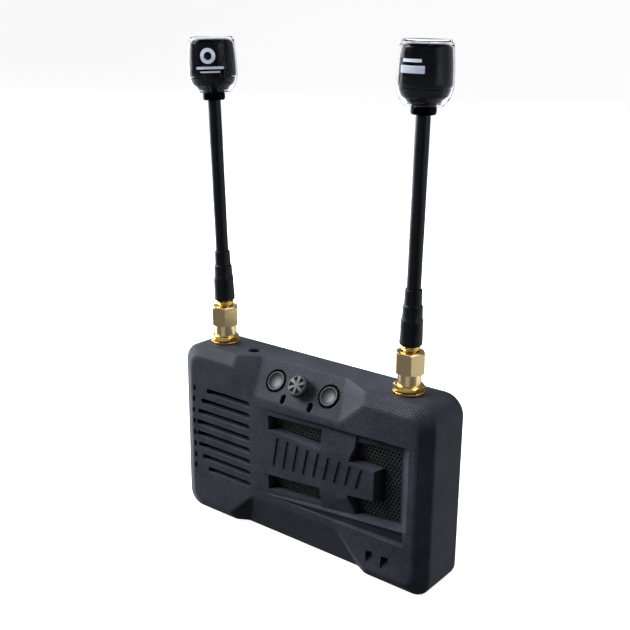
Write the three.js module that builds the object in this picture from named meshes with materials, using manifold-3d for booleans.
// A dual-aerial wireless video receiver: a shallow plastic case with a sloped control strip, a vented and
// grilled front, and two screw-on aerials on gold coaxial connectors.
// Millimetres. +X along the width, +Z up, the front panel faces -Y. The origin is the middle of the base.
import * as THREE from 'three';
import { ConvexGeometry } from 'three/addons/geometries/ConvexGeometry.js';
import { mergeVertices } from 'three/addons/utils/BufferGeometryUtils.js';
import Module from 'manifold-3d';

const wasm = await Module();
wasm.setup();

// ---- driving dimensions -------------------------------------------------------------------------------

const fit = 0.3; // clearance between neighbouring pieces

const caseWidth = 97;
const caseHeight = 59;
const caseDepth = 18;
const topCorner = 6.3; // corner radii of the case seen from the front
const bottomCorner = 5.3;
const panelCorner = 4;
const sideChamfer = 4.4; // how far the edge chamfer comes in at the sides, and above and below
const endChamfer = 3.4;
const chamferDepth = 2.6;
const wall = 2.2;
const frontWall = 2.4;
const coverThickness = 1.7;
const coverInset = 1.3;
const coverSeatDepth = 16;

const slopeFoot = 47.8; // height at which the control strip leaves the panel
const slopeDepth = 7.8; // how far back it has gone at the top face
const slopeWall = 2;

const ventRows = 8;
const ventPitch = 4;
const ventLowest = 16.5;
const ventWidth = 1.7;
const ventRight = -19.2; // centre of every slot's right-hand end
const fanCentre = { x: -30, z: 30.5 };
const fanSize = 30;
const fanThickness = 6;
const fanFront = 2.9; // depth behind the panel

const grilleBackDepth = 3.2;
const recessLeft = -14.5;
const recessRight = 41.7;
const recessDepth = 2.55; // at its right-hand end
const grilleThickness = 0.5;

const boardFront = 10.7;
const boardThickness = 1.3;
const boardTop = 47.5;
const postX = 43.9;
const postLow = 7.5;
const postHigh = 50.5;

const buttonX = 10.35;
const buttonAlong = 6.85; // distance up the control strip
const buttonRadius = 3.4;
const buttonHole = 3.78;
const lightX = 5.28;
const lightAlong = 1.95;
const lightLength = 2.9;
const lightWidth = 1.4;
const keyBoardTop = -6; // height of the key board's face above the strip's surface

const aerialDepth = 10.4;
const jackRadius = 3.1;
const hexFlats = 8;
const leanHeight = 13.8; // height above the case where an aerial starts to lean
const aerials = [
  { side: 'left', x: -37.95, lean: -2.6, nutTurn: 12.5 },
  { side: 'right', x: 34.3, lean: 0.97, nutTurn: 7 },
];

const rings = 24; // sides of a visible round piece
const smallRings = 12; // sides of a small or hidden one

// ---- finishes -----------------------------------------------------------------------------------------

const finishes = {
  casePlastic: { color: 0x35383f, roughness: 0.72, metalness: 0 },
  coverPlastic: { color: 0x303339, roughness: 0.75, metalness: 0 },
  keyPlastic: { color: 0x2b2d33, roughness: 0.6, metalness: 0 },
  blackPlastic: { color: 0x17181b, roughness: 0.5, metalness: 0 },
  tubing: { color: 0x101114, roughness: 0.45, metalness: 0 },
  gloss: { color: 0x0b0b0d, roughness: 0.2, metalness: 0 },
  clear: { color: 0xe8ecee, roughness: 0.08, metalness: 0, transparent: true, opacity: 0.35 },
  gold: { color: 0xd9ab42, roughness: 0.25, metalness: 1 },
  steel: { color: 0x9a9da3, roughness: 0.35, metalness: 1 },
  blackSteel: { color: 0x3a3b3e, roughness: 0.45, metalness: 0.8 },
  aluminium: { color: 0xb4b7bc, roughness: 0.4, metalness: 1 },
  grille: { color: 0x4c4e51, roughness: 0.5, metalness: 0.7 },
  board: { color: 0x14331f, roughness: 0.5, metalness: 0 },
  white: { color: 0xe9e7e0, roughness: 0.5, metalness: 0 },
};

// ---- helpers ------------------------------------------------------------------------------------------

const unit = new THREE.Group();

function addPart(parent, name, geometry, finish, x = 0, y = 0, z = 0) {
  const mesh = new THREE.Mesh(geometry, new THREE.MeshStandardMaterial(finishes[finish]));
  mesh.name = name;
  mesh.position.set(x, y, z);
  parent.add(mesh);
  return mesh;
}

// A depth behind the front panel, as a Y position.
function behindPanel(depth) {
  return depth - caseDepth / 2;
}

function toSolid(geometry) {
  const bare = geometry.clone();
  bare.deleteAttribute('normal');
  bare.deleteAttribute('uv');
  const merged = mergeVertices(bare, 1e-4);
  const vertProperties = Float32Array.from(merged.attributes.position.array);
  const triVerts = Uint32Array.from(merged.index.array);
  return new wasm.Manifold(new wasm.Mesh({ numProp: 3, vertProperties, triVerts }));
}

function toGeometry(body) {
  const { vertProperties, triVerts } = body.getMesh();
  const geometry = new THREE.BufferGeometry();
  geometry.setAttribute('position', new THREE.BufferAttribute(Float32Array.from(vertProperties), 3));
  geometry.setIndex(new THREE.BufferAttribute(Uint32Array.from(triVerts), 1));
  geometry.computeVertexNormals();
  return geometry;
}

function join(bodies) {
  return bodies.reduce((sum, body) => sum.add(body));
}

// A turned piece on the Z axis. The profile lists [radius, height] with the material on its left.
function turned(profile, sides = smallRings) {
  const points = profile.map(([radius, height]) => new THREE.Vector2(radius, height));
  return new THREE.LatheGeometry(points, sides).rotateX(Math.PI / 2);
}

function disc(radius, low, high, sides = smallRings) {
  return turned([[0, low], [radius, low], [radius, high], [0, high]], sides);
}

function ring(inner, outer, low, high, sides = smallRings) {
  return turned([[inner, low], [outer, low], [outer, high], [inner, high], [inner, low]], sides);
}

// A disc whose axis runs front to back, between two depths.
function throughDisc(radius, x, z, front, back, sides = smallRings) {
  return disc(radius, front, back, sides).rotateX(-Math.PI / 2).translate(x, behindPanel(0), z);
}

function block(x0, x1, front, back, z0, z1) {
  const geometry = new THREE.BoxGeometry(x1 - x0, back - front, z1 - z0);
  return geometry.translate((x0 + x1) / 2, behindPanel((front + back) / 2), (z0 + z1) / 2);
}

// A hexagonal prism on the Z axis.
function hexagon(flats, low, high) {
  return disc(flats / Math.sqrt(3), low, high, 6);
}

function roundedShape(width, height, radius) {
  const shape = new THREE.Shape();
  const x = width / 2;
  const y = height / 2;
  shape.moveTo(x, -y + radius);
  shape.lineTo(x, y - radius);
  shape.absarc(x - radius, y - radius, radius, 0, Math.PI / 2);
  shape.lineTo(-x + radius, y);
  shape.absarc(-x + radius, y - radius, radius, Math.PI / 2, Math.PI);
  shape.lineTo(-x, -y + radius);
  shape.absarc(-x + radius, -y + radius, radius, Math.PI, Math.PI * 1.5);
  shape.lineTo(x - radius, -y);
  shape.absarc(x - radius, -y + radius, radius, Math.PI * 1.5, Math.PI * 2);
  return shape;
}

// A flat plate with round corners, its underside on z = 0.
function plate(width, height, thickness, radius, steps = 2) {
  const shape = roundedShape(width, height, radius);
  return new THREE.ExtrudeGeometry(shape, { depth: thickness, bevelEnabled: false, curveSegments: steps });
}

// One closed outline of the case at a depth, round-cornered, counterclockwise seen from the front.
function caseOutline(depth, sideInset, endInset, upperRadius, lowerRadius) {
  const x = caseWidth / 2 - sideInset;
  const low = endInset;
  const high = caseHeight - endInset;
  const corners = [
    [x - lowerRadius, low + lowerRadius, lowerRadius, -90],
    [x - upperRadius, high - upperRadius, upperRadius, 0],
    [-x + upperRadius, high - upperRadius, upperRadius, 90],
    [-x + lowerRadius, low + lowerRadius, lowerRadius, 180],
  ];
  const steps = 4;
  return corners.flatMap(([cx, cz, radius, start]) =>
    Array.from({ length: steps + 1 }, (_, i) => {
      const angle = THREE.MathUtils.degToRad(start + (90 * i) / steps);
      const out = new THREE.Vector3(Math.cos(angle), 0, Math.sin(angle)).multiplyScalar(radius);
      return out.add(new THREE.Vector3(cx, behindPanel(depth), cz));
    }),
  );
}

// A solid skinned over outlines with equal point counts, listed from front to back.
function loft(outlines) {
  const count = outlines[0].length;
  const last = outlines.length - 1;
  const index = [];
  for (let k = 0; k < last; k += 1) {
    for (let i = 0; i < count; i += 1) {
      const next = (i + 1) % count;
      const a = k * count + i;
      const b = k * count + next;
      index.push(a, a + count, b, b, a + count, b + count);
    }
  }
  for (let i = 1; i < count - 1; i += 1) {
    index.push(0, i, i + 1);
    index.push(last * count, last * count + i + 1, last * count + i);
  }
  const geometry = new THREE.BufferGeometry().setFromPoints(outlines.flat());
  geometry.setIndex(index);
  return geometry;
}

function hull(points) {
  return new ConvexGeometry(points.map(([x, depth, z]) => new THREE.Vector3(x, behindPanel(depth), z)));
}

// ---- the sloped control strip's own frame: X along it, Y up the slope, Z out of its surface -------------

const slopeAngle = Math.atan2(caseHeight - slopeFoot, slopeDepth);
const slope = new THREE.Group();
slope.position.set(0, behindPanel(0), slopeFoot);
slope.rotation.x = slopeAngle;
slope.updateMatrix();
unit.add(slope);

function onSlope(geometry, x, along, height = 0) {
  return geometry.translate(x, along, height).applyMatrix4(slope.matrix);
}

// A wedge bounded by a bevel plane and the two facets that end it. Each corner is [x, depth, z]; foot is
// where the bevel meets the panel, head where it meets the end face, spread where a facet meets the panel.
function bevelCutter(foot, head, spread, inward) {
  const reach = 1.6;
  const outward = 3;
  const points = [];
  for (const side of [0, 1]) {
    const low = new THREE.Vector3(...foot[side]);
    const high = new THREE.Vector3(...head[side]);
    const out = new THREE.Vector3(...spread[side]).sub(low).multiplyScalar(outward);
    const along = high.clone().sub(low);
    const start = low.clone().addScaledVector(along, 1 - reach);
    const end = low.clone().addScaledVector(along, reach);
    points.push(start, end, start.clone().add(out), end.clone().add(out));
  }
  const [dy, dz] = inward;
  return hull(points.map((point) => [point.x, point.y + dy, point.z + dz]));
}

function controlBevel(depth) {
  const inward = [Math.sin(slopeAngle) * depth, -Math.cos(slopeAngle) * depth];
  const foot = [[-16, 0, slopeFoot], [17, 0, slopeFoot]];
  const head = [[-18.6, slopeDepth, caseHeight], [13.8, slopeDepth, caseHeight]];
  const spread = [[-25, 0, 55.4], [25.2, 0, 55.1]];
  return toSolid(bevelCutter(foot, head, spread, inward));
}

function footBevel(depth) {
  const inward = [0.94 * depth, 0.34 * depth];
  const foot = [[-17.3, 0, 12.8], [17.2, 0, 12.8]];
  const head = [[-23, 4.6, 0], [22, 4.6, 0]];
  const spread = [[-27, 0, 3.8], [26.9, 0, 3.8]];
  return toSolid(bevelCutter(foot, head, spread, inward));
}

// ---- the front panel's openings -------------------------------------------------------------------------

// Depth of the wedge-shaped recess's floor at x.
function recessFloor(x) {
  return (recessDepth * (x - recessLeft)) / (recessRight - recessLeft - 3);
}

function recessCutter() {
  const edges = [[recessLeft, 44.8, 15.4], [recessRight, 46.7, 15.3]];
  const points = [];
  for (const [x, top, bottom] of edges) {
    const floor = Math.max(recessFloor(x), 0);
    const inner = x === recessRight ? x - 3 : x;
    points.push([inner, floor, top - 0.6], [inner, floor, x === recessRight ? 20.6 : bottom]);
    points.push([x, -1, top], [x, -1, bottom], [x, 0, top], [x, 0, bottom]);
  }
  return toSolid(hull(points));
}

// The raised bar across the recess: flush with the panel, tapering to the right, with drafted sides.
function nameBar() {
  const left = -13;
  const right = 30.1;
  const draft = 1.6;
  const back = grilleBackDepth;
  const points = [
    [left, 0, 38.3], [left, 0, 22.4], [right, 0, 36.15], [right, 0, 26.7],
    [left, back, 38.3 + draft], [left, back, 22.4 - draft],
    [right + draft, back, 36.15 + draft], [right + draft, back, 26.7 - draft],
  ];
  return toSolid(hull(points));
}

// The pair of ribs that carry the bar between the left and right windows, sloping from the bar to the floor.
function barRibs() {
  const back = grilleBackDepth;
  const points = [
    [9.9, 0, 37], [9.9, 0, 25.5], [21, 0, 36.6], [21, 0, 26],
    [10.2, 1.2, 45.5], [10.2, 1.2, 17], [22.8, 1.8, 45.5], [22.8, 1.8, 17],
    [10.2, back, 45.5], [10.2, back, 17], [22.8, back, 45.5], [22.8, back, 17],
  ];
  return toSolid(hull(points));
}

function windowCutter(x0, x1, topLeft, topRight, bottomLeft, bottomRight) {
  const points = [];
  for (const depth of [-1, grilleBackDepth + 1]) {
    points.push([x0, depth, topLeft], [x1, depth, topRight]);
    points.push([x0, depth, bottomLeft], [x1, depth, bottomRight]);
  }
  return toSolid(hull(points));
}

// The slots' left-hand ends lie on an arc.
function ventSlots() {
  const arc = { x: -20, z: ventLowest + ((ventRows - 1) * ventPitch) / 2, radius: 22 };
  const slots = Array.from({ length: ventRows }, (_, row) => {
    const z = ventLowest + row * ventPitch;
    const left = arc.x - Math.sqrt(arc.radius ** 2 - (z - arc.z) ** 2) + ventWidth / 2;
    const length = ventRight - left + ventWidth;
    const slot = plate(length, ventWidth, frontWall + 2, ventWidth / 2 - 0.01).rotateX(Math.PI / 2);
    return toSolid(slot.translate((left + ventRight) / 2, behindPanel(frontWall + 1), z));
  });
  return join(slots);
}

function ventDimples() {
  const dimples = Array.from({ length: ventRows }, (_, row) => {
    const z = ventLowest + row * ventPitch - 0.2;
    const dimple = plate(1, 2, 2, 0.49, 2).rotateX(Math.PI / 2);
    return toSolid(dimple.translate(-42.5, behindPanel(0.5), z));
  });
  return join(dimples);
}

function cornerNotches() {
  const notches = [27.9, 33.3].map((x) =>
    toSolid(hull([
      [x, 0.9, 9.9], [x + 2.4, 0.9, 10.2], [x, 0.9, 6], [x + 2.4, 0.9, 6.4],
      [x, -1, 9.9], [x + 2.4, -1, 10.2], [x, -1, 4.2], [x + 3.6, -1, 3.4],
    ])),
  );
  return join(notches);
}

// ---- case -----------------------------------------------------------------------------------------------

const socketHeight = 29.4; // centre of the side socket
const socketDepth = 14.1;
const videoJack = { x: -24.2, depth: 9.5 };
const posts = [-1, 1].flatMap((side) => [postLow, postHigh].map((z) => ({ x: side * postX, z })));
const fanScrewOffset = 12;
const fanPosts = [
  { x: fanCentre.x - fanScrewOffset, z: fanCentre.z + fanScrewOffset },
  { x: fanCentre.x + fanScrewOffset, z: fanCentre.z - fanScrewOffset },
];

function frontShell() {
  let body = toSolid(loft([
    caseOutline(0, sideChamfer, endChamfer, panelCorner, panelCorner),
    caseOutline(chamferDepth, 0, 0, topCorner, bottomCorner),
    caseOutline(caseDepth, 0, 0, topCorner, bottomCorner),
  ]));
  const pad = hull([
    [-48, 2.9, 47.3], [-48, 2.9, 11.6], [-48, 17.4, 47.3], [-48, 17.4, 11.6],
    [-49.5, 3.7, 44.5], [-49.5, 3.7, 14.4], [-49.5, 16.8, 44.5], [-49.5, 16.8, 14.4],
  ]);
  body = body.add(toSolid(pad)).subtract(controlBevel(0)).subtract(footBevel(0));

  const inner = topCorner - wall;
  let cavity = toSolid(loft([
    caseOutline(frontWall, wall, wall, inner, inner),
    caseOutline(caseDepth + 1, wall, wall, inner, inner),
  ]));
  cavity = cavity.subtract(controlBevel(slopeWall)).subtract(footBevel(slopeWall));
  cavity = cavity.subtract(toSolid(block(-13, 42.2, -1, grilleBackDepth, 12.8, 47.4)));
  const seat = loft([
    caseOutline(coverSeatDepth, coverInset, coverInset, topCorner - coverInset, bottomCorner - coverInset),
    caseOutline(caseDepth + 1, coverInset, coverInset, topCorner - coverInset, bottomCorner - coverInset),
  ]);
  body = body.subtract(cavity).subtract(toSolid(seat));

  body = body.subtract(recessCutter()).add(nameBar()).add(barRibs());
  body = body.subtract(windowCutter(-10.5, 10, 43, 43.6, 38.15, 37.4).subtract(nameBar()));
  body = body.subtract(windowCutter(-10.5, 10, 22.6, 24, 17.8, 19.2).subtract(nameBar()));
  body = body.subtract(windowCutter(22.7, 37.7, 43.3, 43.9, 20, 21.2).subtract(nameBar()));
  body = body.subtract(ventSlots()).subtract(ventDimples()).subtract(cornerNotches());

  for (const { x, z } of posts) {
    body = body.add(toSolid(throughDisc(2.6, x, z, 2.2, boardFront - fit)));
    body = body.subtract(toSolid(throughDisc(1.3, x, z, 5, boardFront + 1)));
  }
  for (const { x, z } of fanPosts) {
    body = body.add(toSolid(throughDisc(2, x, z, 2.2, fanFront - fit)));
    body = body.subtract(toSolid(throughDisc(1.2, x, z, 1, fanFront)));
  }
  for (const side of [-1, 1]) {
    const hole = disc(buttonHole, -4, 2, rings);
    body = body.subtract(toSolid(onSlope(hole, side * buttonX, buttonAlong)));
    const slot = plate(lightWidth, lightLength, 8, lightWidth / 2 - 0.01);
    body = body.subtract(toSolid(onSlope(slot, side * lightX, lightAlong, -6)));
  }
  body = body.subtract(toSolid(onSlope(disc(2.3, -4, 2), 0, buttonAlong)));
  for (const { x } of aerials) {
    body = body.subtract(toSolid(disc(jackRadius + fit, 50, 62).translate(x, behindPanel(aerialDepth), 0)));
  }
  const jackHole = disc(1.85, 50, 62).translate(videoJack.x, behindPanel(videoJack.depth), 0);
  const sideHole = plate(9.7, 3.9, 6, 1.9).rotateY(Math.PI / 2);
  body = body.subtract(toSolid(jackHole));
  return toGeometry(body.subtract(toSolid(sideHole.translate(-51, behindPanel(socketDepth), socketHeight))));
}

function rearCover() {
  const inset = coverInset + fit;
  const front = caseDepth - coverThickness;
  let body = toSolid(loft([
    caseOutline(front, inset, inset, topCorner - inset, bottomCorner - inset),
    caseOutline(caseDepth, inset, inset, topCorner - inset, bottomCorner - inset),
  ]));
  for (const { x, z } of posts) {
    body = body.add(toSolid(throughDisc(2.4, x, z, boardFront + boardThickness + fit, front + 0.4)));
    body = body.subtract(toSolid(throughDisc(1.3, x, z, boardFront, caseDepth + 1)));
    body = body.subtract(toSolid(throughDisc(2.2, x, z, caseDepth - 1.2, caseDepth + 1)));
  }
  const socketRelief = block(-49, -40, front - 1, front + 0.3, socketHeight - 5.2, socketHeight + 5.2);
  return toGeometry(body.subtract(toSolid(socketRelief)));
}

// Flat-headed machine screw with a cross recess, head up the +Z axis.
function screw(headRadius, headHeight, shankRadius, length) {
  let body = toSolid(turned([
    [0, -length], [shankRadius, -length], [shankRadius, 0], [headRadius, 0], [headRadius, headHeight],
    [0, headHeight],
  ]));
  for (const angle of [0, Math.PI / 2]) {
    const slot = new THREE.BoxGeometry(headRadius * 1.2, 0.5, headHeight).rotateZ(angle);
    body = body.subtract(toSolid(slot.translate(0, 0, headHeight)));
  }
  return toGeometry(body).rotateX(-Math.PI / 2);
}

function addCase() {
  addPart(unit, 'front_shell', frontShell(), 'casePlastic');
  addPart(unit, 'rear_cover', rearCover(), 'coverPlastic');
  const grilleFront = grilleBackDepth + fit;
  const grille = block(-12.2, 40.8, grilleFront, grilleFront + grilleThickness, 14.8, 45.4);
  addPart(unit, 'grille_mesh', grille, 'grille');
  const names = ['left_bottom', 'left_top', 'right_bottom', 'right_top'];
  const headSeat = behindPanel(17.1);
  posts.forEach(({ x, z }, i) => {
    addPart(unit, `case_screw_${names[i]}`, screw(1.9, 0.8, 0.95, 9.6), 'blackSteel', x, headSeat, z);
  });
}

// ---- fan ------------------------------------------------------------------------------------------------

const fan = new THREE.Group();
fan.position.set(fanCentre.x, behindPanel(fanFront), fanCentre.z);
fan.rotation.x = Math.PI / 2;
unit.add(fan);

const bladeTip = 13.3;
const fanBore = 13.9;

function fanFrame() {
  let body = toSolid(plate(fanSize, fanSize, fanThickness, 2.5).translate(0, 0, -fanThickness));
  body = body.subtract(toSolid(disc(fanBore, -fanThickness - 1, 1, rings)));
  const base = [disc(6.2, -fanThickness, -fanThickness + 0.8)];
  for (const angle of [0, 120, 240]) {
    const spoke = new THREE.BoxGeometry(fanBore, 1.4, 0.8);
    spoke.translate(fanBore / 2 + 0.5, 0, -fanThickness + 0.4);
    base.push(spoke.rotateZ(THREE.MathUtils.degToRad(angle + 30)));
  }
  base.push(disc(0.9, -fanThickness, -2));
  body = body.add(join(base.map(toSolid)));
  for (const { x, z } of fanPosts) {
    const hole = disc(1.2, -fanThickness - 1, 1).translate(x - fanCentre.x, z - fanCentre.z, 0);
    body = body.subtract(toSolid(hole));
  }
  return toGeometry(body);
}

function fanRotor() {
  const top = -0.5;
  const bottom = -fanThickness + 1.2;
  const bladeCount = 7;
  const blades = Array.from({ length: bladeCount }, (_, i) => {
    const blade = new THREE.BoxGeometry(bladeTip - 4, 0.7, 6.2).translate((bladeTip + 4) / 2, 0, 0);
    blade.rotateX(THREE.MathUtils.degToRad(52)).translate(0, 0, (top + bottom) / 2);
    return toSolid(blade.rotateZ((2 * Math.PI * i) / bladeCount));
  });
  const envelope = toSolid(disc(bladeTip, bottom, top, rings));
  const hub = toSolid(disc(6.2, bottom, top, rings));
  return toGeometry(join(blades).intersect(envelope).add(hub).subtract(toSolid(disc(1.3, bottom - 1, -1.5))));
}

function addFan() {
  addPart(fan, 'fan_frame', fanFrame(), 'blackPlastic');
  addPart(fan, 'fan_rotor', fanRotor(), 'blackPlastic');
  fanPosts.forEach(({ x, z }, i) => {
    const depth = fanFront + fanThickness + fit;
    addPart(unit, `fan_screw_${i + 1}`, screw(1.7, 0.9, 0.85, 7.7), 'blackSteel', x, behindPanel(depth), z);
  });
}

// ---- electronics ----------------------------------------------------------------------------------------

function mainBoard() {
  const back = boardFront + boardThickness;
  const edge = 45.6;
  const earWidth = 4;
  const plates = [
    block(-edge, edge, boardFront, back, 5, boardTop),
    block(-edge, -edge + earWidth, boardFront, back, 40, 53),
    block(edge - earWidth, edge, boardFront, back, 40, 53),
  ];
  let body = join(plates.map(toSolid));
  const { x } = videoJack;
  body = body.subtract(toSolid(block(x - 3.4, x + 3.4, boardFront - 1, back + 1, 44.2, boardTop + 1)));
  for (const post of posts) {
    body = body.subtract(toSolid(throughDisc(1.3, post.x, post.z, boardFront - 1, back + 1)));
  }
  return toGeometry(body);
}

function heatSink() {
  const back = boardFront - fit;
  const fins = Array.from({ length: 9 }, (_, i) => block(-11, 19, 4.7, back - 1, 15 + i * 3.2, 16 + i * 3.2));
  return toGeometry(join([block(-11, 19, back - 1.5, back, 15, 41.6), ...fins].map(toSolid)));
}

function receiverCan() {
  return plate(22, 24, 2.3, 1).rotateX(Math.PI / 2);
}

function videoSocket() {
  const high = caseHeight - wall - fit;
  const low = fanCentre.z + fanSize / 2 + fit;
  const shape = plate(5.6, 5.6, high - low, 0.6).translate(0, 0, low);
  const bore = disc(1.75, low + 1, high + 1);
  return toGeometry(toSolid(shape).subtract(toSolid(bore)));
}

// A flat, round-ended socket with its contact tongue, opening along -X.
function powerSocket() {
  const depth = 7.2;
  const shell = toSolid(plate(9, 3.2, depth, 1.55));
  const mouth = toSolid(plate(8.4, 2.6, depth, 1.25).translate(0, 0, -0.6));
  const tongue = toSolid(plate(6.6, 0.7, depth - 1.2, 0.3, 1).translate(0, 0, 1));
  return toGeometry(shell.subtract(mouth).add(tongue)).rotateY(Math.PI / 2);
}

// Coaxial lead from a jack's tail over the board's top edge to the radio can behind it.
function pigtail(side) {
  const route = [
    [0, 10.4, 49.6],
    [0, 10.7, 48.9],
    [0, 12.4, 48.5],
    [0, 13.3, 47.4],
    [-side * 0.6, 13.4, 45],
    [-side, 13.4, 42.4],
  ];
  const points = route.map(([x, depth, z]) => new THREE.Vector3(x, behindPanel(depth), z));
  const curve = new THREE.CatmullRomCurve3(points);
  const section = new THREE.Shape().absarc(0, 0, 0.6, 0, Math.PI * 2);
  const options = { extrudePath: curve, steps: 14, curveSegments: 4, bevelEnabled: false };
  return new THREE.ExtrudeGeometry(section, options);
}

function addElectronics() {
  addPart(unit, 'main_board', mainBoard(), 'board');
  addPart(unit, 'heat_sink', heatSink(), 'aluminium');
  const canFront = behindPanel(boardFront + boardThickness + fit + 2.3);
  addPart(unit, 'receiver_can_left', receiverCan(), 'steel', -27, canFront, 30);
  addPart(unit, 'receiver_can_right', receiverCan(), 'steel', 25, canFront, 30);
  addPart(unit, 'video_socket', videoSocket(), 'blackPlastic', videoJack.x, behindPanel(videoJack.depth), 0);
  addPart(unit, 'power_socket', powerSocket(), 'steel', -48, behindPanel(socketDepth), socketHeight);
  aerials.forEach(({ side, x }) => {
    addPart(unit, `pigtail_${side}`, pigtail(Math.sign(x)), 'blackPlastic', x, 0, 0);
  });
}

// ---- controls on the slope ------------------------------------------------------------------------------

const navPivot = -3.65;

// A dished cap on a short stem, kept in by a flange behind the wall.
function buttonCap() {
  const dish = [[0, -0.35], [1, -0.31], [1.9, -0.16], [2.6, 0.1]];
  return turned([
    [0, -3.9], [1.2, -3.9], [1.2, -3], [4.3, -3], [4.3, -2.4], [buttonRadius, -2.4],
    [buttonRadius, 0.05], [buttonRadius - 0.25, 0.25], [2.85, 0.25], ...dish.reverse(),
  ], rings);
}

function navSwitchBody() {
  const shell = toSolid(plate(7.4, 7.4, 2.5, 0.5).translate(0, 0, keyBoardTop + fit));
  return toGeometry(shell.subtract(toSolid(disc(2.9, keyBoardTop + 0.8, 0))));
}

function navKnob() {
  return turned([
    [0, 2.75], [1.3, 2.75], [1.3, 1.3], [2.6, 1.3], [3.2, 1.2], [3.5, 1.5], [3.5, 2.6], [3.2, 3],
    [2.2, 3.2], [0, 3.3],
  ], rings);
}

function addControls() {
  addPart(slope, 'key_board', plate(28, 11.6, 1, 0.8), 'board', 0, 6.8, keyBoardTop - 1);
  const onBoard = keyBoardTop + fit;
  for (const [side, name] of [[-1, 'left'], [1, 'right']]) {
    const x = side * buttonX;
    const lightAt = side * lightX;
    addPart(slope, `button_cap_${name}`, buttonCap(), 'keyPlastic', x, buttonAlong, 0);
    addPart(slope, `button_switch_${name}`, plate(5, 5, 1.2, 0.5), 'blackPlastic', x, buttonAlong, onBoard);
    const guide = plate(lightWidth - 2 * fit, lightLength - 2 * fit, 4.5, 0.38);
    addPart(slope, `light_guide_${name}`, guide, 'clear', lightAt, lightAlong, -4.8);
    addPart(slope, `status_led_${name}`, plate(0.8, 1.6, 0.6, 0.1, 1), 'white', lightAt, lightAlong, onBoard);
  }
  addPart(slope, 'nav_switch_body', navSwitchBody(), 'blackPlastic', 0, buttonAlong, 0);
  addPart(slope, 'nav_plunger', disc(1.6, -4.7, -4.25), 'steel', 0, buttonAlong, 0);
  addPart(slope, 'nav_rocker', ring(1.45, 2.5, -3.9, -3.4), 'steel', 0, buttonAlong, 0);
  addPart(slope, 'nav_stick', disc(0.95, -3.95, 2.4), 'blackPlastic', 0, buttonAlong, 0);
  addPart(slope, 'nav_knob', navKnob(), 'keyPlastic', 0, buttonAlong, 0);
}

// ---- coaxial connectors and aerials, with heights measured from the top of the case ----------------------

function jackBody() {
  const barrel = toSolid(disc(jackRadius, -3, 9.4, rings));
  const flange = toSolid(hexagon(hexFlats, -4.4, -2.5));
  const tail = toSolid(disc(2.2, -9, -4));
  return toGeometry(join([barrel, flange, tail]).subtract(toSolid(disc(2.35, -4, 10))));
}

function lockWasher() {
  const body = toSolid(ring(3.4, 4.75, 0.15, 0.8, rings));
  const split = new THREE.BoxGeometry(3, 0.5, 2).rotateZ(0.35).translate(4, 0, 0.5);
  return toGeometry(body.subtract(toSolid(split.rotateZ(-1.9))));
}

// A hexagon with its upper and lower corners turned off, and a hole through it.
function hexNut(flats, low, high, hole) {
  const corner = flats / Math.sqrt(3);
  const chamfer = turned([
    [0, low], [flats / 2 - 0.1, low], [corner, low + 0.35], [corner, high - 0.35], [flats / 2 - 0.1, high],
    [0, high],
  ], rings);
  const bore = disc(hole, low - 1, high + 1);
  return toSolid(hexagon(flats, low, high)).intersect(toSolid(chamfer)).subtract(toSolid(bore));
}

function couplingNut() {
  const skirt = toSolid(ring(3.45, 3.85, 2.9, 6.2, rings));
  const crown = hexNut(hexFlats, 5.9, 12.4, 2.65);
  return toGeometry(crown.subtract(toSolid(disc(3.45, 5, 10.8, rings))).add(skirt));
}

function plugBody() {
  return turned([
    [0.9, 9.7], [2.95, 9.7], [2.95, 10.5], [2.3, 10.5], [2.3, 12.9], [2.75, 13.1], [2.75, 14.1],
    [2.2, 14.2], [2.2, 18.9], [0.9, 18.9], [0.9, 9.7],
  ], rings);
}

function shrinkSleeve() {
  return turned([
    [2.55, 14.5], [3.35, 14.5], [3.25, 15], [3.2, 22], [2.9, 22.5], [2.87, 25.8], [2.5, 26.3], [2.44, 30.7],
    [2.18, 30.7], [2.18, 19.4], [2.55, 19.2], [2.55, 14.5],
  ], rings);
}

function capBase() {
  return turned([
    [2.33, 78.2], [3.45, 78.2], [3.45, 80.3], [6.2, 80.5], [6.2, 82], [2.33, 82], [2.33, 78.2],
  ], rings);
}

function capLiner() {
  return turned([
    [5.5, 82.3], [6.2, 82.3], [6.2, 95.8], [0, 95.8], [0, 95.1], [5.5, 95.1], [5.5, 82.3],
  ], rings);
}

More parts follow.
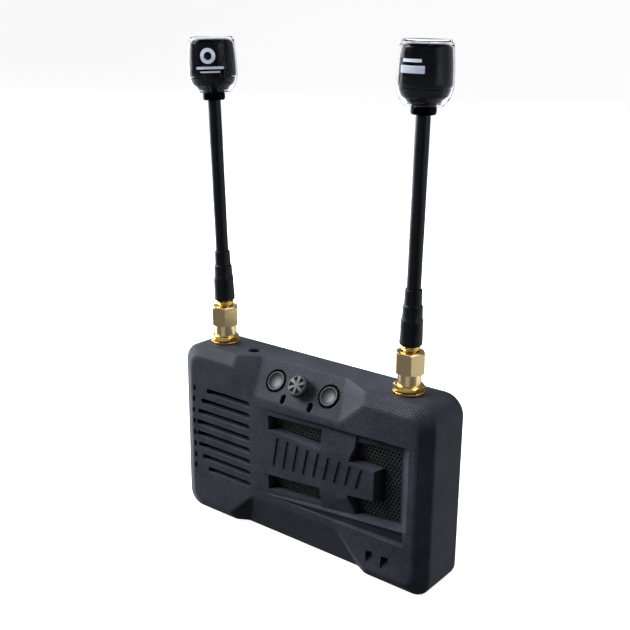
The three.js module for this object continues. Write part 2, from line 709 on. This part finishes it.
function clearCap() {
  return turned([
    [6.5, 80.4], [7.1, 80.4], [7.65, 81.2], [7.5, 96.3], [7.1, 97.1], [6.3, 97.4], [0, 97.4],
    [0, 96.1], [6.5, 96.1], [6.5, 80.4],
  ], rings);
}

function radiator() {
  const discs = [84.5, 88.5, 92.5].map((height) => disc(4.9, height, height + 0.8));
  return toGeometry(join([disc(1.2, 79.8, 93.8), ...discs].map(toSolid)));
}

function addAerial({ side, x, lean, nutTurn }) {
  const base = new THREE.Group();
  base.position.set(x, behindPanel(aerialDepth), caseHeight);
  unit.add(base);
  const jack = addPart(base, `jack_body_${side}`, jackBody(), 'gold');
  addPart(base, `jack_insulator_${side}`, ring(0.75, 2, -3.7, 7), 'white');
  addPart(base, `lock_washer_${side}`, lockWasher(), 'gold');
  const nut = toGeometry(hexNut(8.3, 0.95, 2.55, jackRadius + fit));
  const jackNut = addPart(base, `jack_nut_${side}`, nut, 'gold');
  const couplingTurn = THREE.MathUtils.degToRad(nutTurn);
  jack.rotation.z = couplingTurn;
  jackNut.rotation.z = couplingTurn + 0.3;
  addPart(base, `coupling_nut_${side}`, couplingNut(), 'gold').rotation.z = couplingTurn;
  addPart(base, `plug_body_${side}`, plugBody(), 'gold');
  addPart(base, `plug_pin_${side}`, disc(0.46, 2, 16), 'gold');

  // Everything above the crimp leans about the crimp.
  const leaning = new THREE.Group();
  leaning.position.set(0, 0, leanHeight);
  leaning.rotation.y = THREE.MathUtils.degToRad(lean);
  base.add(leaning);
  const down = -leanHeight;
  addPart(leaning, `sleeve_${side}`, shrinkSleeve(), 'tubing', 0, 0, down);
  addPart(leaning, `stem_${side}`, disc(2.03, 19.3, 79.4, rings), 'tubing', 0, 0, down);
  addPart(leaning, `cap_base_${side}`, capBase(), 'gloss', 0, 0, down);
  addPart(leaning, `cap_liner_${side}`, capLiner(), 'gloss', 0, 0, down);
  addPart(leaning, `radiator_${side}`, radiator(), 'gold', 0, 0, down);
  addPart(leaning, `clear_cap_${side}`, clearCap(), 'clear', 0, 0, down);
}

addCase();
addFan();
addElectronics();
addControls();
aerials.forEach(addAerial);

export default unit;
